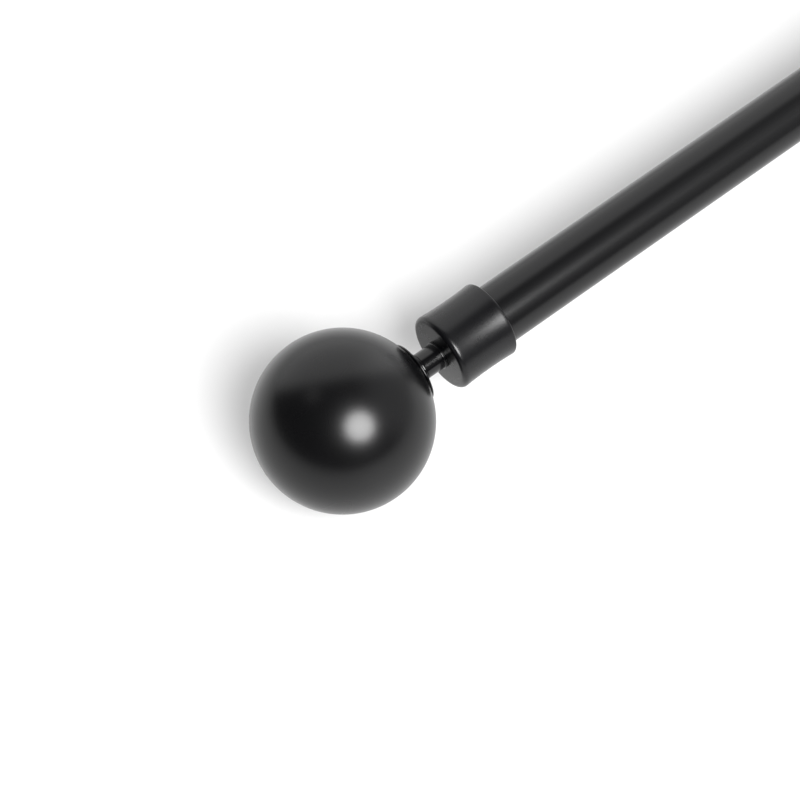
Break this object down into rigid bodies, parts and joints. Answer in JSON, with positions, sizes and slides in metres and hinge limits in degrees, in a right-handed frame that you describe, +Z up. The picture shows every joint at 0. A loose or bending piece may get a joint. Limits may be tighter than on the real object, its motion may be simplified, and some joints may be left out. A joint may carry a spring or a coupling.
{
  "type": "curtain rod with brackets",
  "caption": "Extending round curtain rod in satin black with ball finials, turned end caps and open-topped wall brackets with thumbscrews.",
  "frame": {"origin": "on the wall, at the centre of the four wall screw holes: midway between the two brackets and level with the rod's axis", "axes": "+X along the rod from the thick tube's ball to the thin tube's ball, +Y into the wall, +Z up"},
  "size_m": [1.0842, 0.1178, 0.0534],
  "materials": {
    "satin_black": "satin black powder coat",
    "gloss_black": "gloss black enamel",
    "black_nylon": "moulded nylon",
    "zinc_steel": "bright zinc plate",
    "oxide_steel": "black oxide"
  },
  "bodies": {
    "wall_plates": {"left_wall_plate": "satin_black", "left_post": "satin_black", "right_wall_plate": "satin_black", "right_post": "satin_black"},
    "left_bracket": {"left_arm": "satin_black", "left_arm_screw": "oxide_steel", "left_cradle": "satin_black"},
    "right_bracket": {"right_arm": "satin_black", "right_arm_screw": "oxide_steel", "right_cradle": "satin_black"},
    "rod": {"outer_tube": "satin_black", "glide_bush": "black_nylon", "left_end_cap": "satin_black", "left_cap_screw": "oxide_steel", "left_lock_nut": "zinc_steel", "left_stud": "zinc_steel", "left_collar": "gloss_black", "left_neck": "gloss_black"},
    "inner_rod": {"inner_tube": "satin_black", "tail_bush": "black_nylon", "right_end_cap": "satin_black", "right_cap_screw": "oxide_steel", "right_lock_nut": "zinc_steel", "right_stud": "zinc_steel", "right_collar": "gloss_black", "right_neck": "gloss_black"},
    "left_washer_ring": {"left_washer": "gloss_black"},
    "left_finial": {"left_ball": "satin_black", "left_ball_nut": "zinc_steel"},
    "right_washer_ring": {"right_washer": "gloss_black"},
    "right_finial": {"right_ball": "satin_black", "right_ball_nut": "zinc_steel"},
    "left_pad": {"left_screw_pad": "black_nylon"},
    "left_thumb": {"left_thumb_stud": "satin_black", "left_thumb_head": "satin_black"},
    "right_pad": {"right_screw_pad": "black_nylon"},
    "right_thumb": {"right_thumb_stud": "satin_black", "right_thumb_head": "satin_black"}
  },
  "joints": [
    {"name": "left_projection", "type": "slide", "parent": "wall_plates", "child": "left_bracket", "axis": [0, -1, 0], "range_m": [-0.012, 0.024]},
    {"name": "right_projection", "type": "slide", "parent": "wall_plates", "child": "right_bracket", "axis": [0, -1, 0], "range_m": [-0.012, 0.024]},
    {"name": "rod_lift", "type": "slide", "parent": "left_bracket", "child": "rod", "axis": [0, 0, 1], "range_m": [0, 0.03]},
    {"name": "rod_extend", "type": "slide", "parent": "rod", "child": "inner_rod", "axis": [1, 0, 0], "range_m": [-0.105, 0.58]},
    {"name": "left_ball_travel", "type": "slide", "parent": "rod", "child": "left_washer_ring", "axis": [-1, 0, 0], "range_m": [0, 0.009]},
    {"name": "left_ball_turn", "type": "hinge", "parent": "left_washer_ring", "child": "left_finial", "pos_m": [-0.51533, -0.09, 0], "axis": [-1, 0, 0], "range_deg": [0, 3241]},
    {"name": "left_pad_travel", "type": "slide", "parent": "left_bracket", "child": "left_pad", "axis": [0, -1, 0], "range_m": [0, 0.0042]},
    {"name": "left_thumbscrew_turn", "type": "hinge", "parent": "left_pad", "child": "left_thumb", "pos_m": [-0.24, -0.1035, 0], "axis": [0, -1, 0], "range_deg": [0, 2161]},
    {"name": "right_ball_travel", "type": "slide", "parent": "inner_rod", "child": "right_washer_ring", "axis": [1, 0, 0], "range_m": [0, 0.009]},
    {"name": "right_ball_turn", "type": "hinge", "parent": "right_washer_ring", "child": "right_finial", "pos_m": [0.51533, -0.09, 0], "axis": [1, 0, 0], "range_deg": [0, 3241]},
    {"name": "right_pad_travel", "type": "slide", "parent": "right_bracket", "child": "right_pad", "axis": [0, -1, 0], "range_m": [0, 0.0042]},
    {"name": "right_thumbscrew_turn", "type": "hinge", "parent": "right_pad", "child": "right_thumb", "pos_m": [0.24, -0.1035, 0], "axis": [0, -1, 0], "range_deg": [0, 2161]}
  ],
  "couplings": [
    {"joint": "right_projection", "follows": "left_projection", "ratio": 1},
    {"joint": "left_ball_turn", "follows": "left_ball_travel", "rad_per_m": 6283.2},
    {"joint": "left_thumbscrew_turn", "follows": "left_pad_travel", "rad_per_m": 8976},
    {"joint": "right_ball_turn", "follows": "right_ball_travel", "rad_per_m": 6283.2},
    {"joint": "right_thumbscrew_turn", "follows": "right_pad_travel", "rad_per_m": 8976}
  ]
}
